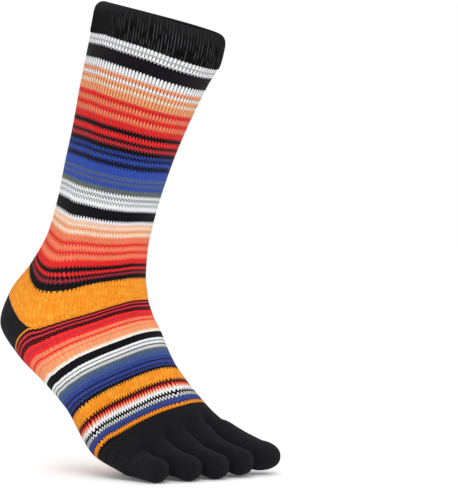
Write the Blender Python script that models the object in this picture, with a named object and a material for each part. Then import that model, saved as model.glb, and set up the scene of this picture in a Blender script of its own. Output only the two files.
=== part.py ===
"""A knitted five-toe crew sock, kept in the form that it has on a foot.

The sock is a hollow cloth tube.  A fan of closed rings carries it: each ring
runs from a front point, on the shin and the instep, to a back point, on the
calf, the heel and the sole.  The table STATIONS gives those two points and the
ring's half width, from the top edge (along = 0) to the roots of the toes
(along = 1).  Every wall is that surface and a second one, one cloth thickness
deeper, closed at the edges.  The pieces part where the knitting changes: cuff,
leg, heel pocket, foot, forefoot and five toe pockets.

Metres, +X towards the toes, +Y towards the inner side of a right foot, +Z up.
The origin is where the heel bears inside the heel pocket.
"""
import math

import bmesh
import bpy
import numpy as np

MM = 0.001

# size in millimetres: the foot from the heel to the big toe; the tables below
# are for TABLE_FOOT, and their lengths grow with FOOT_LENGTH
FOOT_LENGTH = 245.0
TABLE_FOOT = 245.0
GROW = FOOT_LENGTH / TABLE_FOOT

# cloth and gaps, in millimetres
WALL = 1.6              # plain knit, doubled yarn
CUFF_WALL = 2.2         # ribbed knit
CUFF_PROUD = 0.7        # ribs over the leg's surface
GAP = 0.3               # between two pieces that meet
CUFF_END = 0.097        # along, where the ribbing stops
TOE_LINE = 0.9655       # along, where the plain forefoot starts

# counts
COLUMNS = 40            # columns of faces round the leg and the foot
CUFF_INSIDE = 4         # columns outside the cuff for each one inside
RIBS = 120              # ribs round the cuff, two columns each
RIB_DEPTH = 0.45
TOE_COLUMNS = 18        # columns of faces round a toe

# place of the heel's seat in the frame of the table below
HEEL_SEAT = (14.5, 0.0, 5.5)

# along: share of the way; front and back points and half width in mm; shift: ring
# centre to the inner side; corner: 1 is an ellipse, less is squarer; sole: widest
# place moved towards the back point; turn: degrees, the inner side further on;
# lift: rise of the front towards the inner side
STATIONS = (
    # along front_x front_z  back_x  back_z  half  shift corner sole  turn  lift
    (0.00,  197.6,  218.4,  105.9,  247.2,  53.4,  0.3,  1.00, 0.00,  0.0, 0.00),
    (0.08,  193.2,  197.9,  101.0,  229.0,  51.3,  0.3,  1.00, 0.00,  0.0, 0.00),
    (0.16,  183.2,  181.0,   96.1,  211.0,  47.8, -0.1,  1.00, 0.00,  0.0, 0.00),
    (0.26,  170.8,  157.2,   88.4,  184.6,  42.4, -0.5,  1.00, 0.00,  0.0, 0.00),
    (0.36,  158.9,  131.4,   80.1,  153.7,  36.8, -0.5,  1.00, 0.00,  0.0, 0.00),
    (0.44,  150.0,  108.1,   71.7,  126.5,  32.6, -0.4,  1.00, 0.00,  0.0, 0.00),
    (0.52,  142.3,   86.1,   64.9,  100.8,  30.0, -0.1,  0.98, 0.00,  0.0, 0.00),
    (0.60,  135.3,   59.0,   57.2,   76.4,  29.5, -0.4,  0.93, 0.00,  0.0, 0.00),
    (0.67,  133.7,   39.6,   41.4,   52.0,  30.0, -0.2,  0.88, 0.00,  0.0, 0.00),
    (0.73,  134.8,   29.6,   21.4,   29.6,  30.2,  0.2,  0.84, 0.00,  0.0, 0.00),
    (0.78,  136.1,   22.4,   12.0,    5.5,  30.2,  0.3,  0.82, 0.00,  0.0, 0.00),
    (0.83,  138.8,   12.9,   28.9,  -18.9,  30.6,  0.7,  0.80, 0.06,  0.0, 0.04),
    (0.88,  144.0,    0.6,   57.2,  -40.0,  32.4,  0.6,  0.80, 0.14,  3.0, 0.08),
    (0.92,  151.0,  -22.0,   85.2,  -58.4,  38.5,  0.2,  0.80, 0.20,  6.0, 0.11),
    (0.96,  166.5,  -50.5,  120.6,  -93.0,  45.2,  0.0,  0.80, 0.20,  9.0, 0.21),
    (1.00,  173.5,  -68.5,  158.0, -102.4,  47.6, -1.0,  0.80, 0.20, 14.0, 0.30),
)

# the heel patch is an open lens between two courses that meet at a corner on
# each side; round: degrees from the front; upper, lower: along
HEEL_COURSES = (
    # round  upper  lower
    (0,     0.757, 0.757),
    (15,    0.760, 0.760),
    (40,    0.781, 0.781),
    (65,    0.796, 0.796),
    (84,    0.8015, 0.8015),
    (99,    0.8025, 0.8025),
    (107,   0.799, 0.8005),
    (112,   0.789, 0.803),
    (121,   0.768, 0.809),
    (135,   0.748, 0.819),
    (150,   0.736, 0.828),
    (165,   0.730, 0.834),
    (180,   0.728, 0.836),
)
HEEL_CORNER = 107.5     # degrees from the front

# turned-in top edge of the cuff: way down from the edge, depth under the table's
# surface, share of the rib depth
WELT_OUT = ((8.5, -CUFF_PROUD, 1.0), (3.8, 0.5, 0.8), (1.2, 3.0, 0.4), (0.2, 6.0, 0.0))
WELT_IN = ((2.1, 6.6), (4.2, 3.6), (9.0, 1.9))

# dips of the forefoot over the four slits between the toes, and their reach
SLITS = (-33.0, -16.5, 0.5, 18.5)       # y in mm, little toe's side first
SLIT_DIP = 3.8
SLIT_WIDTH = 4.2
SLIT_START = 0.970

# toe pockets: tip centre, half width and half height of the tip, its roundness,
# rise of the middle of the pocket over the straight line, bulge at the middle
TOES = (
    # name                tip_x  tip_y  tip_z  half_w half_h nose  arch bulge
    ("little_toe_pocket", 173.6, -46.0, -94.8,  8.7,  9.2,  9.0, 1.5, 1.00),
    ("fourth_toe_pocket", 189.2, -27.0, -94.6,  8.6,  9.4,  9.5, 2.6, 1.00),
    ("third_toe_pocket",  200.8,  -8.4, -94.4,  8.7,  9.6, 10.0, 3.4, 1.00),
    ("second_toe_pocket", 210.5,  10.6, -92.8,  8.9, 10.0, 10.5, 3.8, 1.00),
    ("big_toe_pocket",    213.5,  34.0, -90.2, 12.9, 11.2, 17.0, 4.6, 1.00),
)
TOE_STEPS = (0.0, 0.22, 0.45, 0.70, 1.0)
TOE_CAP = (25.0, 50.0, 72.0)            # degrees round the tip

# plain colours of the solids
MATERIALS = {
    "black_ribbed_knit": (0.012, 0.013, 0.016),
    "striped_knit": (0.60, 0.10, 0.07),
    "black_knit": (0.014, 0.015, 0.018),
}


def hermite(xs, ys, x):
    """Monotone cubic through the table's points.

    slope d at each point is the weighted harmonic mean of its two neighbour
    slopes, 0 where they differ in sign; between points the cubic
    y = h00*y0 + h10*h*d0 + h01*y1 + h11*h*d1.
    """
    xs, ys = np.asarray(xs, float), np.asarray(ys, float)
    h = np.diff(xs)
    m = np.diff(ys) / h
    d = np.zeros_like(ys)
    w1, w2 = 2 * h[1:] + h[:-1], h[1:] + 2 * h[:-1]
    ok = m[:-1] * m[1:] > 0
    with np.errstate(divide="ignore", invalid="ignore"):
        mean = (w1 + w2) / (w1 / m[:-1] + w2 / m[1:])
    d[1:-1] = np.where(ok, mean, 0.0)
    d[0], d[-1] = m[0], m[-1]
    x = np.clip(x, xs[0], xs[-1])
    i = np.clip(np.searchsorted(xs, x, side="right") - 1, 0, len(h) - 1)
    t = (x - xs[i]) / h[i]
    return ((1 + 2 * t) * (1 - t) ** 2 * ys[i] + t * (1 - t) ** 2 * h[i] * d[i]
            + t * t * (3 - 2 * t) * ys[i + 1] + t * t * (t - 1) * h[i] * d[i + 1])


TABLE = np.array(STATIONS)
TABLE[:, 1:7] *= GROW
SLIT_LINES = [y * GROW for y in SLITS]
COURSES = np.array(HEEL_COURSES)


def column(index, along):
    return hermite(TABLE[:, 0], TABLE[:, index], along)


def power(value, exponent):
    return np.sign(value) * np.abs(value) ** exponent


def slit_depth(along, y):
    """Depth in mm of the dips between the toes, growing to the toes' roots."""
    grow = np.clip((along - SLIT_START) / (1 - SLIT_START), 0, 1) ** 1.5
    dip = sum(np.exp(-((y - s) / (SLIT_WIDTH * GROW)) ** 2) for s in SLIT_LINES)
    return SLIT_DIP * GROW * grow * dip


def ring(along, turn):
    """Point of the cloth's outer surface in mm.

    turn is the angle round the ring, 0 at the front and pi at the back, with
    the inner side at pi/2.  With c = cos(turn)^corner and s = sin(turn)^corner,
    the point is middle + reach*(c - sole*(1 - cos(turn)^2)) towards the front
    and half*s sideways.
    """
    along, turn = np.broadcast_arrays(np.asarray(along, float),
                                      np.asarray(turn, float))
    fx, fz, bx, bz, half, shift, corner, sole, toe, lift = (
        column(i, along) for i in range(1, 11))
    cos, sin = np.cos(turn), np.sin(turn)
    length = np.hypot(fx - bx, fz - bz)
    ux, uz = (fx - bx) / length, (fz - bz) / length
    y = half * power(sin, corner)
    v = length / 2 * (power(cos, corner) - sole * (1 - cos ** 2))
    v = v + lift * y * (1 + cos) / 2
    v = v - slit_depth(along, y + shift) * power(np.clip(cos, 0, 1), 0.5)
    x = (fx + bx) / 2 + ux * v + y * np.tan(np.radians(toe))
    z = (fz + bz) / 2 + uz * v
    return np.stack([x, y + shift, z], -1)


def frame(along, turn):
    """Point, outward unit normal and mm per unit of along, all from ring()."""
    e = 1e-4
    lo, hi = np.clip(along - e, 0, 1), np.clip(along + e, 0, 1)
    da = (ring(hi, turn) - ring(lo, turn)) / (hi - lo)[..., None]
    dt = ring(along, turn + e) - ring(along, turn - e)
    n = np.cross(da, dt)
    n /= np.linalg.norm(n, axis=-1)[..., None]
    return ring(along, turn), n, np.linalg.norm(da, axis=-1)


def to_part(points):
    return (np.asarray(points) - np.array(HEEL_SEAT) * GROW) * MM


def edge(along, turn, side):
    """along moved half a gap away from a seam; side is +1 or -1."""
    along, turn = np.broadcast_arrays(np.asarray(along, float), turn)
    return along + side * GAP / 2 / frame(along, turn)[2]


def heel_line(which, turn):
    """along of the heel's upper (1) or lower (2) course at an angle."""
    deg = np.degrees(np.abs((np.asarray(turn) + np.pi) % (2 * np.pi) - np.pi))
    return hermite(COURSES[:, 0], COURSES[:, which], deg)


def turns(count):
    return np.linspace(0, 2 * np.pi, count, endpoint=False)


def stitch(faces, a, na, b, nb, flip):
    """Strip between ring a of na points and ring b of nb, na a multiple of nb."""
    k = na // nb
    for j in range(nb):
        b0, b1 = b + j, b + (j + 1) % nb
        fan = [a + (j * k + i) % na for i in range(k + 1)]
        for p, q in zip(fan[:-1], fan[1:]):
            faces.append((p, b0, q) if flip else (p, q, b0))
        last = fan[-1]
        faces.append((last, b0, b1) if flip else (last, b1, b0))


def make(name, points, faces, material):
    """One closed body from points in mm, its middle as the object's place."""
    mesh = bpy.data.meshes.new(name)
    pts = to_part(np.asarray(points).reshape(-1, 3))
    middle = (pts.min(0) + pts.max(0)) / 2
    mesh.from_pydata((pts - middle).tolist(), [], [tuple(map(int, f)) for f in faces])
    body = bmesh.new()
    body.from_mesh(mesh)
    bmesh.ops.triangulate(body, faces=body.faces[:])
    bmesh.ops.recalc_face_normals(body, faces=body.faces[:])
    if body.calc_volume(signed=True) < 0:
        bmesh.ops.reverse_faces(body, faces=body.faces[:])
    body.to_mesh(mesh)
    body.free()
    mesh.polygons.foreach_set("use_smooth", [True] * len(mesh.polygons))
    mesh.materials.append(material)
    thing = bpy.data.objects.new(name, mesh)
    thing.location = middle
    bpy.context.scene.collection.objects.link(thing)
    return thing


def tube(name, starts, ends, shares, wall, material, count=COLUMNS):
    """Hollow tube between two courses; shares are its rows from 0 to 1."""
    turn = turns(count)
    rows = [starts(turn) + (ends(turn) - starts(turn)) * s for s in shares]
    outer, inner = [], []
    for row in rows:
        p, n, _ = frame(row, turn)
        outer.append(p)
        inner.append(p - n * wall)
    loops = outer + inner[::-1]
    return make(name, loops, closed_loops(len(loops), count), material)


def closed_loops(loops, count):
    """Quads between following rings of one count, and back to the first."""
    faces = []
    for i in range(loops):
        a, b = i * count, ((i + 1) % loops) * count
        for j in range(count):
            k = (j + 1) % count
            faces.append((a + j, a + k, b + k, b + j))
    return faces


def cuff(material):
    """Ribbed tube whose top edge curls in: ribs outside, plain inside."""
    many, few = turns(2 * RIBS), turns(2 * RIBS // CUFF_INSIDE)
    rib = np.where(np.arange(2 * RIBS) % 2 == 0, 1.0, 0.0)

    def loop(turn, way, depth):
        p, n, rate = frame(np.zeros_like(turn), turn)
        along = way / rate
        p, n, rate = frame(along, turn)
        return p - n * np.reshape(depth, (-1, 1))

    def low(turn, depth):
        row = edge(CUFF_END, turn, -1)
        p, n, _ = frame(row, turn)
        return p - n * np.reshape(depth, (-1, 1))

    points, faces = [], []
    points.append(low(many, -CUFF_PROUD + RIB_DEPTH * (1 - rib)))
    for way, depth, share in WELT_OUT:
        points.append(loop(many, way, depth + RIB_DEPTH * share * (1 - rib)))
    for way, depth in WELT_IN:
        points.append(loop(few, way, np.full(len(few), depth)))
    points.append(low(few, np.full(len(few), CUFF_WALL - CUFF_PROUD)))
    starts = np.cumsum([0] + [len(p) for p in points])
    na, nb = len(many), len(few)
    outer, inner = 1 + len(WELT_OUT), len(WELT_IN) + 1
    for i in range(outer - 1):
        a, b = starts[i], starts[i + 1]
        for j in range(na):
            k = (j + 1) % na
            faces.append((a + j, b + j, b + k, a + k))
    stitch(faces, starts[outer - 1], na, starts[outer], nb, True)
    for i in range(outer, outer + inner - 1):
        a, b = starts[i], starts[i + 1]
        for j in range(nb):
            k = (j + 1) % nb
            faces.append((a + j, b + j, b + k, a + k))
    stitch(faces, starts[0], na, starts[outer + inner - 1], nb, False)
    return make("cuff", np.concatenate(points), faces, material)


def heel_pocket(material, columns=18, rows=4):
    """The lens between the two heel courses, from one corner to the other."""
    corner = math.radians(HEEL_CORNER)
    inset = 1.6 / 45.0          # stops short of the sharp corners
    turn = np.linspace(corner + inset, 2 * np.pi - corner - inset, columns + 1)
    up, low = edge(heel_line(1, turn), turn, 1), edge(heel_line(2, turn), turn, -1)
    grid = [frame(up + (low - up) * s, turn)[:2]
            for s in np.linspace(0, 1, rows + 1)]
    outer = [p for p, n in grid]
    inner = [p - n * WALL for p, n in grid]
    width = columns + 1
    index = lambda layer, i, j: (layer * (rows + 1) + i) * width + j
    faces = []
    for i in range(rows):
        for j in range(columns):
            for layer in (0, 1):
                faces.append((index(layer, i, j), index(layer, i, j + 1),
                              index(layer, i + 1, j + 1), index(layer, i + 1, j)))
    for j in range(columns):
        for i in (0, rows):
            faces.append((index(0, i, j), index(0, i, j + 1),
                          index(1, i, j + 1), index(1, i, j)))
    for i in range(rows):
        for j in (0, columns):
            faces.append((index(0, i, j), index(0, i + 1, j),
                          index(1, i + 1, j), index(1, i, j)))
    return make("heel_pocket", outer + inner, faces, material)


def end_heights(y):
    """Top and bottom of the forefoot's end, in its own plane, at width y (mm).

    From ring() at along = 1: s = (|y|/half)^(1/corner), c = sqrt(1 - s^2).
    """
    half, shift, corner, sole, lift = (float(TABLE[-1, i]) for i in (5, 6, 7, 8, 10))
    reach = np.hypot(TABLE[-1, 1] - TABLE[-1, 3], TABLE[-1, 2] - TABLE[-1, 4]) / 2
    s = np.clip(np.abs(y - shift) / half, 0, 1) ** (1 / corner)
    c = np.sqrt(np.clip(1 - s * s, 0, 1))
    top = reach * (c ** corner - sole * (1 - c ** 2))
    top = top + lift * (y - shift) * (1 + c) / 2 - slit_depth(1.0, y) * np.sqrt(c)
    low = reach * (-c ** corner - sole * (1 - c ** 2))
    low = low + lift * (y - shift) * (1 - c) / 2
    return top, low


def toe_pocket(row, low_y, high_y, low_web, high_web, material):
    """Pocket of one toe, from its share of the forefoot's end to a round tip."""
    name, *lengths, bulge = row
    tip_x, tip_y, tip_z, half_w, half_h, nose, arch = (v * GROW for v in lengths)
    fx, fz, bx, bz, half, shift = (float(TABLE[-1, i]) for i in range(1, 7))
    toe_in = math.tan(math.radians(TABLE[-1, 9]))
    length = math.hypot(fx - bx, fz - bz)
    up0 = np.array([(fx - bx) / length, 0, (fz - bz) / length])
    ahead = np.array([up0[2], 0, -up0[0]])
    side0 = np.array([toe_in, 1, 0])
    low_y = low_y + (GAP / 2 if low_web else 0.05)
    high_y = high_y - (GAP / 2 if high_web else 0.05)

    ang = turns(TOE_COLUMNS) + math.pi / TOE_COLUMNS
    mid_y, span = (low_y + high_y) / 2, (high_y - low_y) / 2
    y = mid_y + span * power(np.cos(ang), 0.5)
    top, low = end_heights(y)
    web = np.where(np.cos(ang) > 0, float(high_web), float(low_web))
    full = 1 - web * (1 - np.abs(np.sin(ang)) ** 0.07)
    v = (top + low) / 2 + (top - low) / 2 * full * np.sign(np.sin(ang))
    mid_v = float(np.mean(end_heights(np.array([mid_y]))))
    base = np.array([(fx + bx) / 2, 0, (fz + bz) / 2])
    root = base + up0 * mid_v + side0 * (mid_y - shift) + np.array([0, shift, 0])
    tip = np.array([tip_x, tip_y, tip_z])
    way = float(np.linalg.norm(tip - root))
    bend = root + ahead * way * 0.35
    root_shape = np.stack([y - mid_y, v - mid_v], -1)
    round_shape = np.stack([half_w * power(np.cos(ang), 0.92),
                            half_h * power(np.sin(ang), 0.92)], -1)
    loops = []
    for t in TOE_STEPS:
        centre = (1 - t) ** 2 * root + 2 * t * (1 - t) * bend + t * t * tip
        centre = centre + np.array([0, 0, arch * math.sin(math.pi * t)])
        line = 2 * (1 - t) * (bend - root) + 2 * t * (tip - bend)
        line[1] = 0
        line /= np.linalg.norm(line)
        up = np.array([-line[2], 0, line[0]])
        side = side0 * (1 - t) + np.array([0.12, 1, 0]) * t
        side /= side[1]
        w = min(1.0, t / 0.8)
        w = w * w * (3 - 2 * w)
        swell = 1 + (bulge - 1) * math.sin(math.pi * t)
        shape = root_shape * (1 - w) + round_shape * w * swell
        loops.append(centre + shape[:, :1] * side + shape[:, 1:] * up)
    loops[0] = loops[0] + ahead * GAP
    for deg in TOE_CAP:
        a = math.radians(deg)
        centre = tip + line * nose * math.sin(a)
        shape = round_shape * math.cos(a) ** 0.85
        loops.append(centre + shape[:, :1] * side + shape[:, 1:] * up)
    pole = tip + line * nose
    outer = np.array(loops)
    # inner skin: each ring pulled in by the wall, each cap ring back as well
    inner = []
    for i, loop in enumerate(loops):
        centre = loop.mean(0)
        after = np.roll(loop, -1, 0) - np.roll(loop, 1, 0)
        along_line = (loops[min(i + 1, len(loops) - 1)] - loops[max(i - 1, 0)])
        n = np.cross(after, along_line)
        n /= np.linalg.norm(n, axis=1)[:, None]
        n *= np.sign(np.sum(n * (loop - centre), 1))[:, None]
        inner.append(loop - n * WALL)
    inner[0] = inner[0] - ahead * np.sum((inner[0] - outer[0]) * ahead, 1)[:, None]
    count, rows = TOE_COLUMNS, len(loops)
    points = [p for loop in loops for p in loop] + [pole]
    points += [p for loop in inner for p in loop] + [pole - line * WALL]
    faces, second = [], rows * count + 1
    for i in range(rows - 1):
        for j in range(count):
            k = (j + 1) % count
            for s in (0, second):
                faces.append((s + i * count + j, s + i * count + k,
                              s + (i + 1) * count + k, s + (i + 1) * count + j))
    for j in range(count):
        k = (j + 1) % count
        for s in (0, second):
            a = s + (rows - 1) * count
            faces.append((a + j, a + k, s + rows * count))
        faces.append((j, k, second + k, second + j))
    return make(name, points, faces, material)


def knit(name):
    material = bpy.data.materials.new(name)
    material.use_nodes = True
    shader = material.node_tree.nodes["Principled BSDF"]
    shader.inputs["Base Color"].default_value = (*MATERIALS[name], 1.0)
    shader.inputs["Roughness"].default_value = 0.9
    return material


def main():
    for thing in list(bpy.data.objects):
        bpy.data.objects.remove(thing)
    ribbed, striped, black = (knit(name) for name in MATERIALS)
    cuff(ribbed)
    tube("leg", lambda t: edge(CUFF_END, t, 1),
         lambda t: edge(heel_line(1, t), t, -1),
         (0, .08, .17, .27, .37, .46, .55, .64, .72, .79, .85, .90, .94, .975, 1),
         WALL, striped)
    heel_pocket(black)
    tube("foot", lambda t: edge(heel_line(2, t), t, 1),
         lambda t: edge(TOE_LINE, t, -1),
         (0, .07, .17, .30, .44, .58, .72, .86, 1), WALL, striped)
    tube("forefoot", lambda t: edge(TOE_LINE, t, 1),
         lambda t: np.ones_like(t), (0, .35, .70, 1), WALL, black, 76)
    half, shift = TABLE[-1, 5], TABLE[-1, 6]
    bounds = [shift - half] + SLIT_LINES + [shift + half]
    for i, row in enumerate(TOES):
        toe_pocket(row, bounds[i], bounds[i + 1], i > 0, i < 4, black)


main()
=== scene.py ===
# %% [markdown]
# # A knitted toe sock
# A crew sock with a ribbed cuff, a striped leg and foot, a plain black heel
# patch and five plain black toe pockets.  It keeps the form that it has on a
# foot.  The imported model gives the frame, in metres: +X to the toes, +Y to the
# inner side of the right foot, +Z up, the origin where the heel bears.

# %% Load the frame
import math

import bpy
import numpy as np
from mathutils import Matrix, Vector


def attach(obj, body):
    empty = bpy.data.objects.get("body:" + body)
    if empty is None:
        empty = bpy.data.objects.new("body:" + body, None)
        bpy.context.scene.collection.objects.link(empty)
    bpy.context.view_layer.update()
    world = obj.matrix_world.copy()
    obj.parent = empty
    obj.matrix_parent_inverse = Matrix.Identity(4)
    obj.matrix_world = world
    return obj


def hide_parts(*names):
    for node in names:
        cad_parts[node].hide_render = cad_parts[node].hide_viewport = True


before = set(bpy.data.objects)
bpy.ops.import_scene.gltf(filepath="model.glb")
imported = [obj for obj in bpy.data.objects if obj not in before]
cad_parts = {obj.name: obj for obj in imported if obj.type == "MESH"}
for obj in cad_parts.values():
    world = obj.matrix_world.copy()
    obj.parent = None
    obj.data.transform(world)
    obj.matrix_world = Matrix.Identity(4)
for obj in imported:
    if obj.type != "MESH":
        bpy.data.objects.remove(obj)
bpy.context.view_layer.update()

# %% [markdown]
# ## The form
# A sock is a tube that turns a corner.  It could be sculpted, or made from
# circles lofted one by one.  Here one table holds closed rings, each from a
# point on the front to a point on the back, and everything between the rows is
# interpolated.  The rings fan out round the ankle, as the knitted rows do.

# %% The table of rings, in mm from the heel's floor
HEEL_SEAT = np.array((14.5, 0.0, 5.5))
STATIONS = np.array((
    # along front_x front_z  back_x  back_z  half  shift corner sole  turn  lift
    (0.00,  197.6,  218.4,  105.9,  247.2,  53.4,  0.3,  1.00, 0.00,  0.0, 0.00),
    (0.08,  193.2,  197.9,  101.0,  229.0,  51.3,  0.3,  1.00, 0.00,  0.0, 0.00),
    (0.16,  183.2,  181.0,   96.1,  211.0,  47.8, -0.1,  1.00, 0.00,  0.0, 0.00),
    (0.26,  170.8,  157.2,   88.4,  184.6,  42.4, -0.5,  1.00, 0.00,  0.0, 0.00),
    (0.36,  158.9,  131.4,   80.1,  153.7,  36.8, -0.5,  1.00, 0.00,  0.0, 0.00),
    (0.44,  150.0,  108.1,   71.7,  126.5,  32.6, -0.4,  1.00, 0.00,  0.0, 0.00),
    (0.52,  142.3,   86.1,   64.9,  100.8,  30.0, -0.1,  0.98, 0.00,  0.0, 0.00),
    (0.60,  135.3,   59.0,   57.2,   76.4,  29.5, -0.4,  0.93, 0.00,  0.0, 0.00),
    (0.67,  133.7,   39.6,   41.4,   52.0,  30.0, -0.2,  0.88, 0.00,  0.0, 0.00),
    (0.73,  134.8,   29.6,   21.4,   29.6,  30.2,  0.2,  0.84, 0.00,  0.0, 0.00),
    (0.78,  136.1,   22.4,   12.0,    5.5,  30.2,  0.3,  0.82, 0.00,  0.0, 0.00),
    (0.83,  138.8,   12.9,   28.9,  -18.9,  30.6,  0.7,  0.80, 0.06,  0.0, 0.04),
    (0.88,  144.0,    0.6,   57.2,  -40.0,  32.4,  0.6,  0.80, 0.14,  3.0, 0.08),
    (0.92,  151.0,  -22.0,   85.2,  -58.4,  38.5,  0.2,  0.80, 0.20,  6.0, 0.11),
    (0.96,  166.5,  -50.5,  120.6,  -93.0,  45.2,  0.0,  0.80, 0.20,  9.0, 0.21),
    (1.00,  173.5,  -68.5,  158.0, -102.4,  47.6, -1.0,  0.80, 0.20, 14.0, 0.30),
))
SLITS = (-33.0, -16.5, 0.5, 18.5)
SLIT_DIP, SLIT_WIDTH, SLIT_START = 3.8, 4.2, 0.970
WALL, CUFF_WALL = 1.6, 2.2
TOE_LINE = 0.9655


# %% From the table to any point of the cloth
def hermite(xs, ys, x):
    """Monotone cubic through a table's points: each point's slope is the
    weighted harmonic mean of its neighbour slopes, or 0 where they differ in
    sign, so nothing overshoots."""
    xs, ys = np.asarray(xs, float), np.asarray(ys, float)
    h = np.diff(xs)
    m = np.diff(ys) / h
    d = np.zeros_like(ys)
    w1, w2 = 2 * h[1:] + h[:-1], h[1:] + 2 * h[:-1]
    with np.errstate(divide="ignore", invalid="ignore"):
        mean = (w1 + w2) / (w1 / m[:-1] + w2 / m[1:])
    d[1:-1] = np.where(m[:-1] * m[1:] > 0, mean, 0.0)
    d[0], d[-1] = m[0], m[-1]
    x = np.clip(x, xs[0], xs[-1])
    i = np.clip(np.searchsorted(xs, x, side="right") - 1, 0, len(h) - 1)
    t = (x - xs[i]) / h[i]
    return ((1 + 2 * t) * (1 - t) ** 2 * ys[i] + t * (1 - t) ** 2 * h[i] * d[i]
            + t * t * (3 - 2 * t) * ys[i + 1] + t * t * (t - 1) * h[i] * d[i + 1])


def power(value, exponent):
    return np.sign(value) * np.abs(value) ** exponent


def ring(along, turn):
    """Outer surface of the cloth in mm.  With c and s the cosine and sine of
    turn, each to the power corner, the point is the ring's middle, plus reach
    times (c - sole * (1 - cos^2)) towards the front, plus half * s sideways.
    Towards the toes the front dips over each slit."""
    along, turn = np.broadcast_arrays(np.asarray(along, float),
                                      np.asarray(turn, float))
    fx, fz, bx, bz, half, shift, corner, sole, toe, lift = (
        hermite(STATIONS[:, 0], STATIONS[:, i], along) for i in range(1, 11))
    cos, sin = np.cos(turn), np.sin(turn)
    length = np.hypot(fx - bx, fz - bz)
    y = half * power(sin, corner)
    v = length / 2 * (power(cos, corner) - sole * (1 - cos ** 2))
    v = v + lift * y * (1 + cos) / 2
    grow = np.clip((along - SLIT_START) / (1 - SLIT_START), 0, 1) ** 1.5
    dips = sum(np.exp(-((y + shift - s) / SLIT_WIDTH) ** 2) for s in SLITS)
    v = v - SLIT_DIP * grow * dips * np.sqrt(np.clip(cos, 0, 1))
    x = (fx + bx) / 2 + (fx - bx) / length * v + y * np.tan(np.radians(toe))
    z = (fz + bz) / 2 + (fz - bz) / length * v
    return np.stack([x, y + shift, z], -1)


def cloth(along, turn):
    """Point, outward normal and mm per unit of along: the normal is the cross
    product of the steps along the tube and round it."""
    along, turn = np.broadcast_arrays(np.asarray(along, float),
                                      np.asarray(turn, float))
    e = 1e-4
    lo, hi = np.clip(along - e, 0, 1), np.clip(along + e, 0, 1)
    down = (ring(hi, turn) - ring(lo, turn)) / (hi - lo)[..., None]
    n = np.cross(down, ring(along, turn + e) - ring(along, turn - e))
    n /= np.linalg.norm(n, axis=-1)[..., None]
    return ring(along, turn), n, np.linalg.norm(down, axis=-1)


# %% [markdown]
# ## The knitted rows
# Stripes follow the rows, and the rows aren't level rings: they sag at the
# back of the ankle and turn round the heel.  Painting by height would miss
# that.  A second table says where twelve known rows lie at each angle from the
# front, and gives each row its distance in mm down the outer side of the sock.
# That distance and the column number become the UV map of every piece.

# %% Where the known rows lie
WALES, RIBS = 104, 136          # columns of stitches round the sock, and ribs
ROW, TOP_ROW, TOP = 1.35, 1.8, 60.0     # height of a row in mm, and above TOP
ROWS = np.array((
    # degrees; leg: cuff blue black red orange; heel: up low; foot: red black
    # orange, last black, toe line
    (0, .1030, .4010, .5105, .6235, .6640, .7636,
     .7636, .8110, .8780, .9258, .9479, .9655),
    (15, .1020, .4030, .5110, .6240, .6670, .7650,
     .7650, .8092, .8780, .9265, .9482, .9648),
    (40, .0980, .4070, .5150, .6340, .6795, .7790,
     .7790, .8118, .8785, .9277, .9489, .9640),
    (65, .0920, .4080, .5172, .6450, .7010, .7925,
     .7925, .8188, .8770, .9279, .9480, .9627),
    (84, .0910, .4080, .5155, .6528, .7235, .7980,
     .7980, .8207, .8760, .9282, .9471, .9600),
    (93, .0910, .4070, .5148, .6600, .7280, .8012,
     .8012, .8232, .8780, .9287, .9471, .9603),
    (99, .0910, .4060, .5144, .6640, .7265, .8025,
     .8025, .8252, .8790, .9293, .9473, .9612),
    (107, .0910, .4050, .5130, .6665, .7200, .7990,
     .8005, .8267, .8810, .9300, .9475, .9625),
    (112, .0930, .4050, .5100, .6655, .7130, .7890,
     .8030, .8272, .8810, .9305, .9475, .9632),
    (121, .0960, .4050, .5070, .6610, .7010, .7680,
     .8090, .8306, .8830, .9310, .9480, .9645),
    (135, .1000, .4050, .5050, .6530, .6840, .7480,
     .8190, .8383, .8850, .9320, .9490, .9655),
    (150, .1020, .4050, .5050, .6460, .6720, .7360,
     .8280, .8452, .8870, .9330, .9500, .9655),
    (165, .1030, .4050, .5050, .6410, .6670, .7300,
     .8340, .8498, .8880, .9330, .9500, .9655),
    (180, .1030, .4050, .5050, .6400, .6650, .7280,
     .8360, .8512, .8880, .9330, .9500, .9655),
))
LEG_MM = (0.0, 91.8, 123.3, 165.0, 183.0, 205.3)        # cuff to upper heel row
FOOT_MM = (205.3, 213.1, 232.7, 272.2, 287.8, 300.5)    # lower heel row to toes
CUFF, UPPER_HEEL, LOWER_HEEL = 1, 6, 7


# share of the columns between the front and each angle: wider at the shin
LEG_COLUMNS = ((0, 28, 40, 56, 72, 88, 110, 150, 180),
               (0, .065, .096, .140, .188, .237, .300, .418, .5))
FOOT_COLUMNS = ((0, 28, 40, 56, 72, 88, 110, 150, 180),
                (0, .088, .128, .179, .228, .272, .328, .428, .5))


def columns_at(turn, table=LEG_COLUMNS, count=WALES):
    """Number of columns up to an angle from 0 to a full turn; the second half
    mirrors the first."""
    deg = np.degrees(turn)
    first = hermite(*table, np.minimum(deg, 360 - deg))
    return np.where(deg <= 180, first, 1 - first) * count


def row_line(which, turn):
    """along of a known row at an angle, both sides of the sock alike."""
    deg = np.degrees(np.abs((np.asarray(turn) + np.pi) % (2 * np.pi) - np.pi))
    return hermite(ROWS[:, 0], ROWS[:, which], deg)


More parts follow.
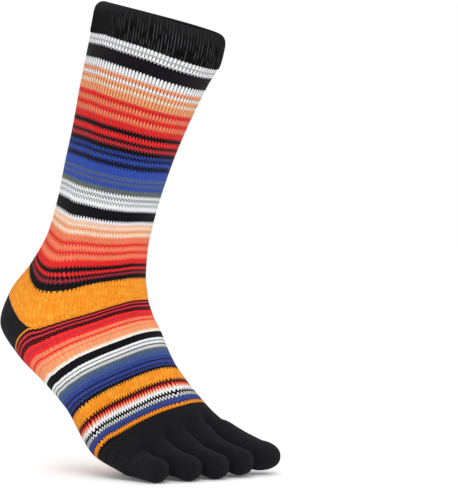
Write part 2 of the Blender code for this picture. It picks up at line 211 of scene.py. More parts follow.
def rows_mm(along, turn, first, marks):
    """mm down the outer side: between two known rows it grows evenly, and
    before the first it goes on backwards at the same rate."""
    lines = [row_line(first + i, turn) for i in range(len(marks))]
    mm = marks[0]
    for i in range(len(marks) - 1):
        share = (along - lines[i]) / (lines[i + 1] - lines[i])
        low = -9.0 if i == 0 else 0.0
        high = 9.0 if i == len(marks) - 2 else 1.0
        mm = mm + (marks[i + 1] - marks[i]) * np.clip(share, low, high)
    return mm


# %% [markdown]
# ## A piece of cloth as a mesh
# Each piece has two skins: the outside and, one wall deeper, the inside.  Solidify
# could give the second skin, but the inside needs fewer faces and the edges
# have to close on a chosen line, so the rows of both skins are stacked into
# one loop of loops: down the outside, round the edge, up the inside.

# %% Grid to mesh
def volume(points, quads):
    """Signed volume: a sixth of the sum of corner triple products."""
    a, b, c, d = (points[quads[:, i]] for i in range(4))
    return (np.einsum("ij,ij", a, np.cross(b, c))
            + np.einsum("ij,ij", a, np.cross(c, d))) / 6


def place(points):
    return (np.asarray(points).reshape(-1, 3) - HEEL_SEAT) * 0.001


def knit_mesh(name, points, faces, uv, material, stands_for):
    """Mesh object from points in mm, faces and one UV pair for each corner."""
    mesh = bpy.data.meshes.new(name)
    mesh.from_pydata(place(points).tolist(), [], faces.tolist())
    layer = mesh.uv_layers.new(name="stitches")
    layer.data.foreach_set("uv", np.asarray(uv, np.float32).ravel())
    mesh.polygons.foreach_set("use_smooth", np.ones(len(mesh.polygons), bool))
    mesh.materials.append(material)
    thing = bpy.data.objects.new(name, mesh)
    bpy.context.scene.collection.objects.link(thing)
    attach(thing, "root")
    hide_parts(*stands_for)
    print(name, "triangles:", sum(len(p.vertices) - 2 for p in mesh.polygons))
    return thing


def loops_mesh(name, loops, wale, mm, material, stands_for):
    """Closed body from stacked loops, each of the same count, first joined to
    last.  wale has one value more than a loop has points, mm one row for each
    loop.  The UV is (wale, mm)."""
    rows, count = loops.shape[:2]
    i, j = np.meshgrid(np.arange(rows), np.arange(count), indexing="ij")
    i2, j2 = (i + 1) % rows, (j + 1) % count
    quads = np.stack([i * count + j, i * count + j2,
                      i2 * count + j2, i2 * count + j], -1).reshape(-1, 4)
    uv = np.stack([
        np.stack([wale[j], mm[i, j]], -1), np.stack([wale[j + 1], mm[i, j2]], -1),
        np.stack([wale[j + 1], mm[i2, j2]], -1), np.stack([wale[j], mm[i2, j]], -1)],
        2).reshape(-1, 4, 2)
    if volume(loops.reshape(-1, 3), quads) < 0:
        quads, uv = quads[:, ::-1], uv[:, ::-1]
    return knit_mesh(name, loops, quads, uv, material, stands_for)


# %% [markdown]
# ## Writing shader maths
# A shader could be wired by hand, one node at a time.  A small class keeps the
# formula readable: each value wraps a socket, and an operator adds a Math node.

# %% Values that build nodes
class Value:
    """A socket that can be added, multiplied and compared."""

    def __init__(self, tree, socket):
        self.tree, self.socket = tree, socket

    def node(self, kind, settings=None, **inputs):
        node = self.tree.nodes.new(kind)
        for key, item in (settings or {}).items():
            if key == "stops":
                fill_ramp(node.color_ramp, *item)
            else:
                setattr(node, key, item)
        for key, item in inputs.items():
            number = int(key[1:]) if key[0] == "i" and key[1:].isdigit() else None
            socket = node.inputs[key.replace("_", " ") if number is None else number]
            if isinstance(item, Value):
                self.tree.links.new(item.socket, socket)
            else:
                socket.default_value = item
        return node

    def out(self, kind, settings=None, output=0, **inputs):
        return Value(self.tree, self.node(kind, settings, **inputs).outputs[output])

    def math(self, operation, *others):
        items = {f"i{k}": v for k, v in enumerate((self,) + others)}
        return self.out("ShaderNodeMath", {"operation": operation}, **items)

    def __add__(self, other):
        return self.math("ADD", other)

    def __sub__(self, other):
        return self.math("SUBTRACT", other)

    def __rsub__(self, other):
        return self.out("ShaderNodeMath", {"operation": "SUBTRACT"}, i0=other, i1=self)

    def __mul__(self, other):
        return self.math("MULTIPLY", other)

    def __truediv__(self, other):
        return self.math("DIVIDE", other)

    def __gt__(self, other):
        return self.math("GREATER_THAN", other)

    __radd__, __rmul__ = __add__, __mul__

    def fract(self):
        return self.math("FRACT")

    def floor(self):
        return self.math("FLOOR")

    def abs(self):
        return self.math("ABSOLUTE")

    def sine(self):
        return self.math("SINE")

    def to_power(self, exponent):
        return self.math("POWER", exponent)

    def smooth(self, low, high):
        """0 below low, 1 above high, an S curve between."""
        return self.out("ShaderNodeMapRange", {"interpolation_type": "SMOOTHSTEP"},
                        i0=self, i1=low, i2=high)

    def pair(self, other, third=0.0):
        """A vector of three values."""
        return self.out("ShaderNodeCombineXYZ", i0=self, i1=other, i2=third)

    def random(self):
        """A steady random number from 0 to 1 for a vector."""
        return self.out("ShaderNodeTexWhiteNoise", {"noise_dimensions": "3D"},
                        Vector=self)

    def mix(self, one, two):
        """Colour one where this value is 0, colour two where it is 1."""
        return self.out("ShaderNodeMix", {"data_type": "RGBA"}, 2,
                        i0=self, i6=one, i7=two)


def fill_ramp(ramp, stops, interpolation):
    """Stops are (place, colour); the ramp starts with two of its own."""
    ramp.interpolation = interpolation
    while len(ramp.elements) < len(stops):
        ramp.elements.new(0.5)
    for element, (spot, colour) in zip(ramp.elements, stops):
        element.position = spot
        element.color = colour


def yarn(name, roughness, sheen, specular):
    """A new material; returns it, its shader and a value to start from."""
    material = bpy.data.materials.new(name)
    material.use_nodes = True
    tree = material.node_tree
    shader = tree.nodes["Principled BSDF"]
    shader.inputs["Roughness"].default_value = roughness
    shader.inputs["Specular IOR Level"].default_value = specular
    shader.inputs["Sheen Weight"].default_value = sheen
    shader.inputs["Sheen Roughness"].default_value = 0.45
    return material, shader, Value(tree, None)


def finish_yarn(shader, start, colour, height, depth):
    """Colour and a relief of depth metres where height goes from 0 to 1."""
    bump = start.out("ShaderNodeBump", Height=height, Distance=depth, Strength=1.0)
    start.tree.links.new(colour.socket, shader.inputs["Base Color"])
    start.tree.links.new(bump.socket, shader.inputs["Normal"])


def linear(r, g, b):
    """A colour as read off a screen, 0 to 255, as the shader needs it."""
    c = np.array((r, g, b)) / 255
    c = np.where(c <= 0.04045, c / 12.92, ((c + 0.055) / 1.055) ** 2.4)
    return (*c.tolist(), 1.0)


# %% [markdown]
# ## One stitch
# Plain knitting is a grid of small V shapes, each two legs that lean together.
# A woven noise would look like felt.  Here the UV map counts stitches across
# and mm down, so the fraction of the count says where in its V a point lies.
# The rows are taller at the calf, where the cloth is stretched.

# %% The stitch pattern
LEAN = 1.6                      # how far the legs of a V rise, in mm


def stitches(start):
    """side: 0 in the middle of a column, 1 between two.  row: the row number
    with the legs' slope added.  height: 1 on a leg, 0 in the gaps."""
    uv = start.out("ShaderNodeUVMap", {"uv_map": "stitches"})
    split = start.node("ShaderNodeSeparateXYZ", Vector=uv)
    wale = Value(start.tree, split.outputs[0])
    mm = Value(start.tree, split.outputs[1])
    side = ((wale.fract() - 0.5) * 2.0).abs()
    flat = mm.smooth(196.0, 206.0) * (1.0 - mm.smooth(262.0, 276.0))
    leaned = mm + (0.5 - side.smooth(0.15, 0.85)) * LEAN * (1.0 - 0.8 * flat)
    row = leaned / ROW - leaned.math("MINIMUM", TOP) * (1 / ROW - 1 / TOP_ROW)
    leg = (side * math.pi).sine().math("MAXIMUM", 0.0).to_power(0.6)
    thread = (row.fract() * math.pi).sine()
    height = leg * (0.45 + 0.55 * thread)
    return wale, mm, side, leaned, row, height


# %% [markdown]
# ## The stripes
# The stripes are plain bands of yarn, one after the other, as in a serape.
# They are listed from the cuff to the toes: where each ends, in mm,
# and its yarn.  A colour ramp holds at most 32 stops, so several ramps follow
# each other.

# %% Yarn colours and the list of stripes
YARN = {
    "black": (15, 15, 18), "navy": (22, 26, 56), "slate": (84, 88, 86),
    "storm": (74, 92, 124), "white": (240, 241, 243),
    "cream": (250, 226, 200), "peach": (246, 160, 112), "salmon": (243, 130, 92),
    "red": (234, 44, 44), "crimson": (196, 48, 60), "maroon": (50, 12, 16),
    "blue": (52, 80, 172), "deep blue": (52, 68, 142), "moss": (100, 110, 104),
    "grey": (140, 142, 144), "light grey": (205, 207, 208),
    "orange": (249, 146, 32), "wine": (158, 44, 58),
}
STRIPES = (
    (0.0, "black"), (4.3, "white"), (5.5, "grey"), (10.0, "white"), (22.5, "black"),
    (28.0, "white"), (31.5, "peach"), (35.0, "white"), (38.0, "peach"),
    (41.0, "cream"), (47.0, "peach"), (50.5, "red"), (55.0, "salmon"),
    (58.5, "red"), (62.0, "salmon"), (67.5, "red"), (71.0, "black"),
    (74.5, "red"), (77.0, "black"), (79.5, "crimson"), (83.0, "black"),
    (84.5, "blue"), (87.0, "navy"), (90.0, "blue"), (93.0, "navy"),
    (99.3, "blue"), (100.5, "moss"), (103.0, "blue"), (105.0, "moss"),
    (108.5, "blue"), (112.5, "moss"), (113.9, "white"), (116.0, "slate"),
    (118.3, "white"), (119.6, "grey"), (123.2, "white"), (131.8, "black"),
    (134.3, "white"), (136.0, "peach"), (138.4, "cream"), (140.2, "peach"),
    (142.6, "cream"), (147.7, "salmon"), (150.6, "red"), (154.6, "salmon"),
    (157.5, "red"), (160.2, "salmon"), (166.0, "red"), (168.8, "black"),
    (172.3, "red"), (174.9, "black"), (177.3, "wine"), (183.0, "black"),
    (205.3, "orange"), (207.2, "black"), (208.4, "crimson"), (209.2, "maroon"),
    (210.6, "crimson"), (211.3, "maroon"), (212.6, "crimson"), (213.4, "maroon"),
    (215.6, "red"), (216.3, "crimson"), (217.6, "red"), (218.4, "salmon"),
    (219.2, "red"), (220.3, "salmon"), (221.0, "red"), (222.2, "salmon"),
    (222.9, "red"), (224.4, "salmon"), (225.1, "peach"), (226.3, "salmon"),
    (227.0, "cream"), (227.8, "peach"), (228.4, "cream"), (229.2, "peach"),
    (230.0, "cream"), (230.8, "peach"), (231.4, "cream"),
    (232.7, "white"), (241.5, "black"), (245.0, "white"), (246.0, "grey"),
    (248.6, "white"), (249.9, "slate"), (251.3, "light grey"), (253.6, "moss"),
    (256.6, "storm"), (258.6, "blue"), (259.4, "storm"), (263.2, "deep blue"),
    (264.8, "navy"), (266.6, "deep blue"), (268.2, "navy"),
    (269.4, "deep blue"), (272.2, "black"), (279.7, "orange"), (281.6, "maroon"),
    (283.6, "red"), (285.0, "peach"), (286.5, "white"), (288.8, "black"),
    (290.6, "white"), (291.6, "slate"), (296.1, "deep blue"), (296.9, "navy"),
    (300.1, "orange"), (300.7, "maroon"), (330.0, "black"),
)
CHART_LOW, CHART_HIGH = -10.0, 310.0
MOST_STOPS = 30
ORANGE_BANDS = ((183.0, 205.4), (272.2, 279.7))


def striped(mm):
    """The chart as ramps of a few stops, chosen by steps at their joins."""
    share = (mm - CHART_LOW) / (CHART_HIGH - CHART_LOW)
    begins = [CHART_LOW] + [end for end, _ in STRIPES[:-1]]
    stops = [((a - CHART_LOW) / (CHART_HIGH - CHART_LOW), linear(*YARN[name]))
             for a, (_, name) in zip(begins, STRIPES)]
    colour = None
    for k in range(0, len(stops), MOST_STOPS):
        part = stops[k:k + MOST_STOPS]
        ramp = share.out("ShaderNodeValToRGB", {"stops": (part, "CONSTANT")}, Fac=share)
        colour = ramp if colour is None else (share > part[0][0]).mix(colour, ramp)
    return colour


print("stripes:", len(STRIPES) - 2)

# %% [markdown]
# ## Striped yarn
# The real yarn isn't one flat colour.  Stitches differ a little from row to
# row, the orange is spun from orange and yellow, and painted shade darkens the
# gaps between the stitches, most where the leg is widest and the cloth is
# stretched.

# %% Striped knit
striped_knit, shader, start = yarn("striped_knit", 0.85, 0.03, 0.06)
wale, mm, side, leaned, row, height = stitches(start)
colour = striped(leaned)
cell = wale.floor().pair(row.floor())
fleck = cell.random()
long_fleck = start.out("ShaderNodeTexNoise", {"noise_dimensions": "2D"},
                       Vector=(wale * 0.22).pair(row * 0.8), Scale=1.0, Detail=2.0)
orange = sum((mm > low) * (high - mm > 0.0) for low, high in ORANGE_BANDS)
melange = orange * (long_fleck * 1.6 + fleck * 0.7 - 0.72).smooth(0.2, 1.0) * 0.5
colour = melange.mix(colour, linear(253, 186, 70))
row_tone = row.floor().pair(7.0).random()
tone = 0.86 + 0.14 * fleck + 0.10 * row_tone
stretched = 1.0 - mm.smooth(30.0, 130.0)
valley = side.smooth(0.35, 0.85)
between = (row.fract() - 0.5).abs().smooth(0.05, 0.40)
# painted shade: the gaps between stitch columns and rows are darkened towards
# linear(30, 22, 24), most where the cloth is stretched
painted_gap_shade = valley * (0.20 + 0.80 * stretched) * (0.25 + 0.75 * between)
colour = (painted_gap_shade * 0.95).mix(
    colour.out("ShaderNodeVectorMath", {"operation": "SCALE"}, i0=colour, Scale=tone),
    linear(30, 22, 24))
finish_yarn(shader, start, colour, height, 0.0004)

# %% [markdown]
# ## Black yarn
# Black cloth shows by its fuzz and by the light on each stitch.  Its colour is
# a dark grey with a painted highlight on each raised stitch, painted shade in
# the gaps, and a tone that varies at random from stitch to stitch.  The ribs
# get painted highlights in thin streaks on the side that faces forwards, and
# painted sheen lightens the rolled edge and the rest of the cuff.

# %% Plain black knit
black_knit, shader, start = yarn("black_knit", 0.95, 0.03, 0.05)
wale, mm, side, leaned, row, height = stitches(start)
fleck = wale.floor().pair(row.floor()).random()
fuzz = start.out("ShaderNodeTexNoise",
                 Vector=start.out("ShaderNodeTexCoord", output=3), Scale=900.0,
                 Detail=3.0)
# painted highlight: raised stitch legs lighter and the gaps darker; fleck and fuzz add
# a random tone
painted_highlight_and_tone = height * 0.5 + fleck * 0.25 + fuzz * 0.4
colour = painted_highlight_and_tone.mix(linear(7, 7, 8), linear(33, 33, 36))
finish_yarn(shader, start, colour, height * 0.6 + fuzz * 0.5, 0.0003)

# %% Ribbed black knit
ribbed_knit, shader, start = yarn("black_ribbed_knit", 0.95, 0.0, 0.0)
wale, mm, side, leaned, row, height = stitches(start)
streak = start.out("ShaderNodeTexNoise", {"noise_dimensions": "2D"},
                   Vector=(wale.floor() * 0.9).pair(mm * 0.09), Scale=1.0, Detail=1.0)
fuzz = start.out("ShaderNodeTexNoise",
                 Vector=start.out("ShaderNodeTexCoord", output=3), Scale=700.0,
                 Detail=3.0)
crest = 1.0 - side.smooth(0.0, 0.5)
roll = 1.0 - mm.smooth(-28.0, -14.0)
ahead = (wale / RIBS - 0.5).abs().smooth(0.19, 0.30)
# painted highlight in broken streaks on the rib crests at the front, weaker in the
# roll; painted sheen lightens the roll (roll * 0.12) and the rest of the cuff ((1 -
# ahead) * 0.08); fuzz adds a random tone
painted_highlight_and_tone = (crest * streak.smooth(0.30, 0.62) * (1.0 - roll * 0.8) * ahead * 0.8
         + fuzz * 0.1 + roll * 0.12 + (1.0 - ahead) * 0.08)
colour = painted_highlight_and_tone.mix(linear(5, 5, 6), linear(80, 80, 82))
finish_yarn(shader, start, colour, (row.fract() * math.pi).sine() + fuzz, 0.00025)

# %% [markdown]
# ## Leg and foot
# Both are the same tube between two knitted rows, with rows of faces about as
# far apart as two rows of stitches.  The UV map counts the stitch columns, which
# lie closer at the sides of the sock than at the shin.

# %% The two striped tubes
def tube(name, first, last, rows, table, mm_of, material, columns=240):
    """Outside and inside between two lines of along; the share from 0 to 1
    goes evenly from one to the other."""
    turn = np.linspace(0, 2 * np.pi, columns, endpoint=False)
    top, end = first(turn), last(turn)
    out_share = np.linspace(0, 1, rows)[:, None]
    in_share = np.linspace(1, 0, max(rows // 3, 6))[:, None]
    outside = top + (end - top) * out_share
    inside = top + (end - top) * in_share
    points, _, _ = cloth(outside, turn[None] + 0 * outside)
    inner, normal, _ = cloth(inside, turn[None] + 0 * inside)
    loops = np.concatenate([points, inner - normal * WALL])
    mm = np.concatenate([mm_of(outside, turn[None]), mm_of(inside, turn[None])])
    wale = columns_at(np.append(turn, 2 * np.pi), table)
    return loops_mesh(name, loops, wale, mm, material, [name])


tube("leg", lambda t: row_line(CUFF, t), lambda t: row_line(UPPER_HEEL, t),
     110, LEG_COLUMNS, lambda a, t: rows_mm(a, t, CUFF, LEG_MM),
     striped_knit)
tube("foot", lambda t: row_line(LOWER_HEEL, t),
     lambda t: np.full_like(t, TOE_LINE), 70, FOOT_COLUMNS,
     lambda a, t: rows_mm(a, t, LOWER_HEEL, FOOT_MM),
     striped_knit)

# %% [markdown]
# ## Heel patch
# The heel is knitted on half the columns, in rows that first grow shorter and
# then longer.  That leaves a lens, open where the two lines of turned rows
# meet on each side of the ankle.

# %% The lens
CORNER = math.radians(107.5)


def lens(columns=120, rows=44):
    """Rows from the upper to the lower heel row; both skins as one loop of
    loops, each loop running down the outside and up the inside."""
    turn = np.linspace(CORNER, 2 * np.pi - CORNER, columns + 1)
    upper, lower = row_line(UPPER_HEEL, turn), row_line(LOWER_HEEL, turn)
    share = np.linspace(0, 1, rows + 1)[:, None]
    along = upper + (lower - upper) * share
    points, normal, rate = cloth(along, turn[None] + 0 * along)
    inner = (points - normal * WALL)[::-1]
    loops = np.concatenate([points, inner])
    mm = 300.0 + (lower - upper) * rate.mean(0) * share
    mm = np.concatenate([mm, mm[::-1]])
    rows2, width = loops.shape[:2]
    i, j = np.meshgrid(np.arange(rows2), np.arange(width - 1), indexing="ij")
    i2 = (i + 1) % rows2
    quads = np.stack([i * width + j, i * width + j + 1,
                      i2 * width + j + 1, i2 * width + j], -1).reshape(-1, 4)
    wale = columns_at(turn)
    uv = np.stack([np.stack([wale[b], mm[a, b]], -1) for a, b in
                   ((i, j), (i, j + 1), (i2, j + 1), (i2, j))], 2).reshape(-1, 4, 2)
    # the two ends, at the sharp corners, closed by strips
    k = np.arange(rows)
    for b in (0, width - 1):
        ends = np.stack([k, k + 1, rows2 - 2 - k, rows2 - 1 - k], -1) * width + b
        ends = ends if b else ends[:, ::-1]
        quads = np.concatenate([quads, ends])
        uv = np.concatenate([uv, np.tile([[wale[b], 300.0]], (rows, 4, 1))])
    if volume(loops.reshape(-1, 3), quads) < 0:
        quads, uv = quads[:, ::-1], uv[:, ::-1]
    return knit_mesh("heel_pocket", loops, quads, uv, black_knit,
                     ["heel_pocket"])


lens()

# %% [markdown]
# ## Cuff
# The ribbing is one column forward, one column back, and the top edge curls in
# as a soft roll.  Here the ribs are real relief, seven faces across each, and
# they fade out in the roll, as they do on the sock.

# %% Ribs and the rolled edge
RIB_DEPTH = 0.55
CUFF_PROUD = 0.7
ROLL = (  # way down from the edge, depth under the table's surface, rib share
    (9.5, -0.75, 1.0), (6.5, -0.55, 0.8), (4.3, 0.1, 0.6), (2.6, 1.1, 0.45),
    (1.3, 2.5, 0.3), (0.5, 4.2, 0.15), (0.15, 5.6, 0.0), (0.6, 6.5, 0.0),
    (2.1, 6.6, 0.0), (4.2, 3.6, 0.0), (9.0, 1.9, 0.0))


def ribbed_cuff(columns=960, rows=22):
    """Rings at a way in mm down from the edge and a depth below the surface;
    the ribs are a cosine to a power, and they wander a little."""
    turn = np.linspace(0, 2 * np.pi, columns, endpoint=False)
    base = np.zeros_like(turn)
    rate = cloth(base, turn)[2]
    low = row_line(CUFF, turn)
    ribs = columns_at(turn, count=RIBS)
    rng = np.random.default_rng(7)
    each = rng.uniform(0.65, 1.25, RIBS)
    weight = np.interp(ribs, np.arange(RIBS + 1), np.append(each, each[0]))

    def loop(along, depth, share):
        rib = (0.5 + 0.5 * np.cos(2 * np.pi * ribs)) ** 0.8
        points, normal, _ = cloth(along, turn)
        sink = depth + RIB_DEPTH * share * weight * (1 - rib)
        return points - normal * sink[:, None]

    loops, mm = [], []
    for s in np.linspace(0, 1, rows, endpoint=False):
        way = low + (ROLL[0][0] / rate - low) * s
        loops.append(loop(way, np.full(columns, -CUFF_PROUD), 1.0))
        mm.append(rows_mm(way, turn, CUFF, LEG_MM))
    for down, depth, share in ROLL:
        loops.append(loop(down / rate, np.full(columns, depth), share))
        mm.append(rows_mm(down / rate, turn, CUFF, LEG_MM))
    loops.append(loop(low, np.full(columns, CUFF_WALL - CUFF_PROUD), 0.0))
    mm.append(rows_mm(low, turn, CUFF, LEG_MM))
    wale = columns_at(np.append(turn, 2 * np.pi), count=RIBS) + 0.5
    return loops_mesh("cuff", np.array(loops), wale, np.array(mm), ribbed_knit,
                      ["cuff"])


ribbed_cuff()

# %% [markdown]
# ## Forefoot and toes
# Five pockets grow out of one tube, and the cloth between them folds into soft
# creases.  Five separate tubes would show hard seams.  So each toe is first a
# closed solid, all are fused with the forefoot by a voxel remesh, and the
# result is smoothed, cut open at the toe line and given its wall.

# %% Solids of the toes
TOES = (
    # tip_x  tip_y  tip_z  half_w half_h nose  arch
    (173.6, -46.0, -94.8,  8.9,  9.2,  9.0, 1.5),
    (189.2, -27.0, -94.6,  8.9,  9.4,  9.5, 2.6),
    (200.8,  -8.4, -94.4,  9.0,  9.6, 10.0, 3.4),
    (210.5,  10.6, -92.8,  9.2, 10.0, 10.5, 3.8),
    (213.5,  34.0, -90.2, 13.1, 11.2, 17.0, 4.6),
)
FRONT, BACK = STATIONS[-1, 1:3], STATIONS[-1, 3:5]
HALF, SHIFT, END_CORNER, END_SOLE, TOE_IN, LIFT = STATIONS[-1, 5:]
REACH = np.hypot(*(FRONT - BACK)) / 2
UP0 = np.array([(FRONT - BACK)[0], 0, (FRONT - BACK)[1]]) / (2 * REACH)
AHEAD = np.array([UP0[2], 0, -UP0[0]])
SIDE0 = np.array([math.tan(math.radians(TOE_IN)), 1, 0])


def end_heights(y):
    """Top and bottom of the forefoot's end at width y, from ring() at 1."""
    s = np.clip(np.abs(y - SHIFT) / HALF, 0, 1) ** (1 / END_CORNER)
    c = np.sqrt(np.clip(1 - s * s, 0, 1))
    dips = sum(np.exp(-((y - m) / SLIT_WIDTH) ** 2) for m in SLITS)
    top = REACH * (c ** END_CORNER - END_SOLE * (1 - c ** 2))
    top = top + LIFT * (y - SHIFT) * (1 + c) / 2 - SLIT_DIP * dips * np.sqrt(c)
    low = REACH * (-c ** END_CORNER - END_SOLE * (1 - c ** 2))
    return top, low + LIFT * (y - SHIFT) * (1 - c) / 2


def toe_solid(toe, low_y, high_y, around=40, steps=18):
    """Loops from the forefoot's end, whose shape is that toe's share of it, to
    an ellipse at the tip, along a quadratic curve, then a round cap."""
    tip_x, tip_y, tip_z, half_w, half_h, nose, arch = toe
    ang = np.linspace(0, 2 * np.pi, around, endpoint=False) + np.pi / around
    mid_y, span = (low_y + high_y) / 2, (high_y - low_y) / 2 + 0.5
    y = mid_y + span * power(np.cos(ang), 0.5)
    top, low = end_heights(y)
    v = (top + low) / 2 + (top - low) / 2 * np.sign(np.sin(ang)) * (
        np.abs(np.sin(ang)) ** 0.12)
    mid_v = float(np.mean(end_heights(np.array([mid_y]))))
    base = np.array([(FRONT + BACK)[0] / 2, 0, (FRONT + BACK)[1] / 2])
    root = base + UP0 * mid_v + SIDE0 * (mid_y - SHIFT) + np.array([0, SHIFT, 0])
    tip = np.array([tip_x, tip_y, tip_z])
    bend = root + AHEAD * np.linalg.norm(tip - root) * 0.35
    root_shape = np.stack([y - mid_y, v - mid_v], -1)
    round_shape = np.stack([half_w * power(np.cos(ang), 0.92),
                            half_h * power(np.sin(ang), 0.92)], -1)
    loops = [root - AHEAD * 7 + root_shape[:, :1] * 0.8 * SIDE0
             + root_shape[:, 1:] * 0.8 * UP0]
    for t in np.linspace(0, 1, steps):
        centre = (1 - t) ** 2 * root + 2 * t * (1 - t) * bend + t * t * tip
        centre = centre + np.array([0, 0, arch * math.sin(math.pi * t)])
        line = 2 * (1 - t) * (bend - root) + 2 * t * (tip - bend)
        line[1] = 0
        line /= np.linalg.norm(line)
        up = np.array([-line[2], 0, line[0]])
        side = SIDE0 * (1 - t) + np.array([0.12, 1, 0]) * t
        side /= side[1]
        w = min(1.0, t / 0.8)
        w = w * w * (3 - 2 * w)
        shape = root_shape * (1 - w) + round_shape * w
        loops.append(centre + shape[:, :1] * side + shape[:, 1:] * up)
    for a in np.radians((10, 20, 30, 40, 50, 60, 70, 80, 87)):
        shape = round_shape * math.cos(a) ** 0.85
        loops.append(tip + line * nose * math.sin(a)
                     + shape[:, :1] * side + shape[:, 1:] * up)
    return np.array(loops)


def capped(loops):
    """Quads between the loops and one face at each end, turned outwards."""
    rows, count = loops.shape[:2]
    i, j = np.meshgrid(np.arange(rows - 1), np.arange(count), indexing="ij")
    j2 = (j + 1) % count
    quads = np.stack([i * count + j, i * count + j2,
                      (i + 1) * count + j2, (i + 1) * count + j], -1).reshape(-1, 4)
    flip = volume(loops.reshape(-1, 3) - loops.mean((0, 1)), quads) < 0
    first = list(range(count))[::-1]
    last = list(range((rows - 1) * count, rows * count))
    faces = quads.tolist() + [first, last]
    return [f[::-1] for f in faces] if flip else faces


# %% Fuse, smooth and cut open
def fused(parts, voxel, rounds):
    """Joins closed solids through a voxel grid and lets a smoothing filter
    soften the creases.  Returns points in mm and quads."""
    points, faces, start = [], [], 0
    for loops in parts:
        faces += [[k + start for k in f] for f in capped(loops)]
        points.append(loops.reshape(-1, 3))
        start += len(points[-1])
    mesh = bpy.data.meshes.new("fuse")
    mesh.from_pydata((np.concatenate(points) * 0.001).tolist(), [], faces)
    thing = bpy.data.objects.new("fuse", mesh)
    bpy.context.scene.collection.objects.link(thing)
    remesh = thing.modifiers.new("remesh", "REMESH")
    remesh.mode, remesh.voxel_size = "VOXEL", voxel * 0.001
    smooth = thing.modifiers.new("smooth", "SMOOTH")
    smooth.factor, smooth.iterations = 0.5, rounds
    done = thing.evaluated_get(bpy.context.evaluated_depsgraph_get()).to_mesh()
    co = np.zeros(len(done.vertices) * 3)
    done.vertices.foreach_get("co", co)
    quads = np.zeros(len(done.loops), int)
    done.loops.foreach_get("vertex_index", quads)
    bpy.data.objects.remove(thing)
    return co.reshape(-1, 3) * 1000, quads.reshape(-1, 4)


def along_of(points):
    """along of points near the forefoot: where the signed distance to the
    rings' planes changes sign, linearly between close samples."""
    s = np.linspace(0.90, 1.0, 60)
    fx, fz, bx, bz, _, shift, _, _, toe, _ = (
        hermite(STATIONS[:, 0], STATIONS[:, i], s) for i in range(1, 11))
    length = np.hypot(fx - bx, fz - bz)
    ux, uz = (fx - bx) / length, (fz - bz) / length
    x = points[:, :1] - (points[:, 1:2] - shift) * np.tan(np.radians(toe))
    past = (x - (fx + bx) / 2) * uz - (points[:, 2:] - (fz + bz) / 2) * ux
    k = np.clip((past > 0).sum(1) - 1, 0, len(s) - 2)
    rows = np.arange(len(points))
    a, b = past[rows, k], past[rows, k + 1]
    share = np.clip(a / np.where(a == b, 1, a - b), 0, 3)
    return s[k] + (s[1] - s[0]) * share, past[:, -1]


VOXEL, SMOOTH_ROUNDS = 0.85, 9          # mm, and passes of the filter
turn = np.linspace(0, 2 * np.pi, 240, endpoint=False)
body = ring(np.linspace(0.935, 1.0, 14)[:, None], turn[None])
bounds = (SHIFT - HALF,) + SLITS + (SHIFT + HALF,)
toe_loops = [toe_solid(toe, bounds[k], bounds[k + 1]) for k, toe in enumerate(TOES)]
skin, quads = fused([body] + toe_loops, VOXEL, SMOOTH_ROUNDS)
along, beyond = along_of(skin)
keep = (along[quads] > TOE_LINE).all(1)
quads = quads[keep]
used, quads = np.unique(quads, return_inverse=True)
skin, along, beyond = skin[used], along[used], beyond[used]
quads = quads.reshape(-1, 4)
print("forefoot skin:", len(skin), "points", len(quads), "quads")


# %% Edge, stitch map and wall of the fused skin
def edge_pairs(quads):
    """Edges that only one face has, in the direction of that face."""
    pairs = np.stack([quads, np.roll(quads, -1, 1)], -1).reshape(-1, 2)
    keys = np.sort(pairs, 1)
    _, where, count = np.unique(keys, axis=0, return_inverse=True, return_counts=True)
    return pairs[count[where.ravel()] == 1]


rim = edge_pairs(quads)
line = ring(TOE_LINE, np.linspace(0, 2 * np.pi, 1440, endpoint=False))
edge = np.unique(rim)
nearest = np.linalg.norm(skin[edge][:, None] - line[None], axis=-1).argmin(1)
skin[edge] = line[nearest]


def point_normals(points, quads):
    """Mean of the normals of the faces round each point."""
    a, b, c, d = (points[quads[:, i]] for i in range(4))
    n = np.cross(c - a, d - b)
    total = np.zeros_like(points)
    for i in range(4):
        np.add.at(total, quads[:, i], n)
    return total / np.maximum(np.linalg.norm(total, axis=1), 1e-9)[:, None]


normal = point_normals(skin, quads)
# stitch map: columns run round each toe, rows across it; the forefoot goes on
# from the foot's rows
TOE_WALES, TOE_ROOT_MM, FLAT_PITCH = 24, 318.0, 2.2
middles = np.array([loops.mean(1) for loops in toe_loops])[:, 1:20]
far = np.linalg.norm(skin[:, None, None] - middles[None], axis=-1)
which = far.min(2).argmin(1)
step = far[np.arange(len(skin)), which].argmin(1)
rel = skin - middles[which, step]
angle = np.arctan2(rel[:, 1], rel[:, 2]) / (2 * np.pi)
on_toe = beyond > 0
wale = np.where(on_toe, (angle + 0.5) * TOE_WALES,
                skin[:, 1] / FLAT_PITCH + WALES / 2)
down = (along - TOE_LINE) / (1 - TOE_LINE)
mm = np.where(on_toe, TOE_ROOT_MM + beyond,
              FOOT_MM[-1] + down * (TOE_ROOT_MM - FOOT_MM[-1]))
u, v = wale[quads], mm[quads]
wraps = (u.max(1, keepdims=True) - u > TOE_WALES / 2) & on_toe[quads]
u = np.where(wraps, u + TOE_WALES, u)
inner = skin - normal * WALL
count = len(skin)
wall = np.stack([rim[:, 1], rim[:, 0], rim[:, 0] + count, rim[:, 1] + count], -1)
faces = np.concatenate([quads, quads[:, ::-1] + count, wall])
uv = np.concatenate([np.stack([u, v], -1), np.stack([u, v], -1)[:, ::-1],
                     np.tile([[WALES / 2, FOOT_MM[-1]]], (len(wall), 4, 1))])
knit_mesh("forefoot_and_toes", np.concatenate([skin, inner]), faces, uv,
          black_knit,
          ["forefoot", "little_toe_pocket", "fourth_toe_pocket",
           "third_toe_pocket", "second_toe_pocket", "big_toe_pocket"])

# %% [markdown]
# ## Floor, light and camera
# The sock stands on its toes on a plain white studio floor, under one large
# soft light and an even white surround.

# %% Stage
FLOOR = -0.1095


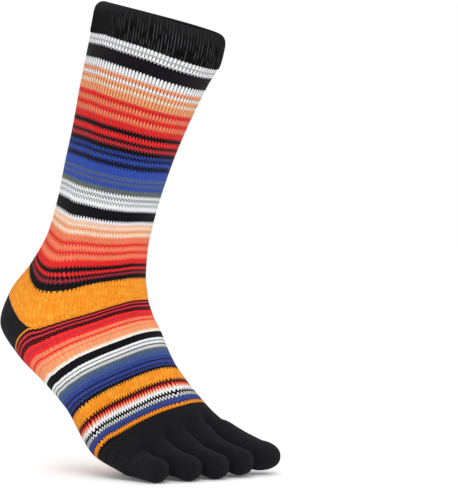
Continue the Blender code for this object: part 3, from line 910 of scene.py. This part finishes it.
def disc(name, radius, rings=24, spokes=64):
    """Flat disc: points at growing radii round the middle."""
    r = radius * np.linspace(0, 1, rings + 1)[1:, None] ** 2
    a = np.linspace(0, 2 * np.pi, spokes, endpoint=False)
    points = np.stack([0.08 + r * np.cos(a), r * np.sin(a), 0 * r * a + FLOOR], -1)
    i, j = np.meshgrid(np.arange(rings - 1), np.arange(spokes), indexing="ij")
    j2 = (j + 1) % spokes
    quads = np.stack([i * spokes + j, (i + 1) * spokes + j,
                      (i + 1) * spokes + j2, i * spokes + j2], -1).reshape(-1, 4)
    mesh = bpy.data.meshes.new(name)
    mesh.from_pydata(points.reshape(-1, 3).tolist(), [],
                     quads.tolist() + [list(range(spokes))])
    thing = bpy.data.objects.new(name, mesh)
    bpy.context.scene.collection.objects.link(thing)
    return thing


floor = disc("floor", 12.0)
paint = bpy.data.materials.new("white_floor")
paint.use_nodes = True
for key, item in {"Base Color": (.96, .96, .96, 1), "Roughness": 0.9,
                  "Specular IOR Level": 0.1, "Emission Color": (1, 1, 1, 1),
                  "Emission Strength": 0.06}.items():
    paint.node_tree.nodes["Principled BSDF"].inputs[key].default_value = item
floor.data.materials.append(paint)

world = bpy.data.worlds.new("studio")
bpy.context.scene.world = world
world.use_nodes = True
sky = world.node_tree.nodes["Background"]
sky.inputs["Color"].default_value = (1.0, 1.0, 1.0, 1.0)
sky.inputs["Strength"].default_value = 1.0


def soft_light(name, place_at, aim, size, power):
    """A square area light that faces a point."""
    light = bpy.data.lights.new(name, "AREA")
    light.size, light.energy = size, power
    lamp = bpy.data.objects.new(name, light)
    lamp.location = place_at
    lamp.rotation_mode = "QUATERNION"
    lamp.rotation_quaternion = (Vector(aim) - Vector(place_at)).to_track_quat("-Z", "Y")
    bpy.context.scene.collection.objects.link(lamp)


soft_light("key", (0.9, -0.9, 1.2), (0.08, 0, 0.05), 0.9, 8.0)
soft_light("top", (-0.4, 0.3, 1.4), (0.08, 0, 0.05), 0.8, 3.0)

# %% Camera
lens_data = bpy.data.cameras.new("camera")
lens_data.lens, lens_data.sensor_width = 122.95, 36.0
camera = bpy.data.objects.new("camera", lens_data)
camera.location = (0.758124, -1.062161, 0.048328)
camera.rotation_mode = "QUATERNION"
looks = Vector((-0.46945, 0.88291, 0.00931))
camera.rotation_quaternion = looks.to_track_quat("-Z", "Y")
bpy.context.scene.collection.objects.link(camera)
bpy.context.scene.camera = camera
bpy.context.scene.view_settings.view_transform = "Standard"
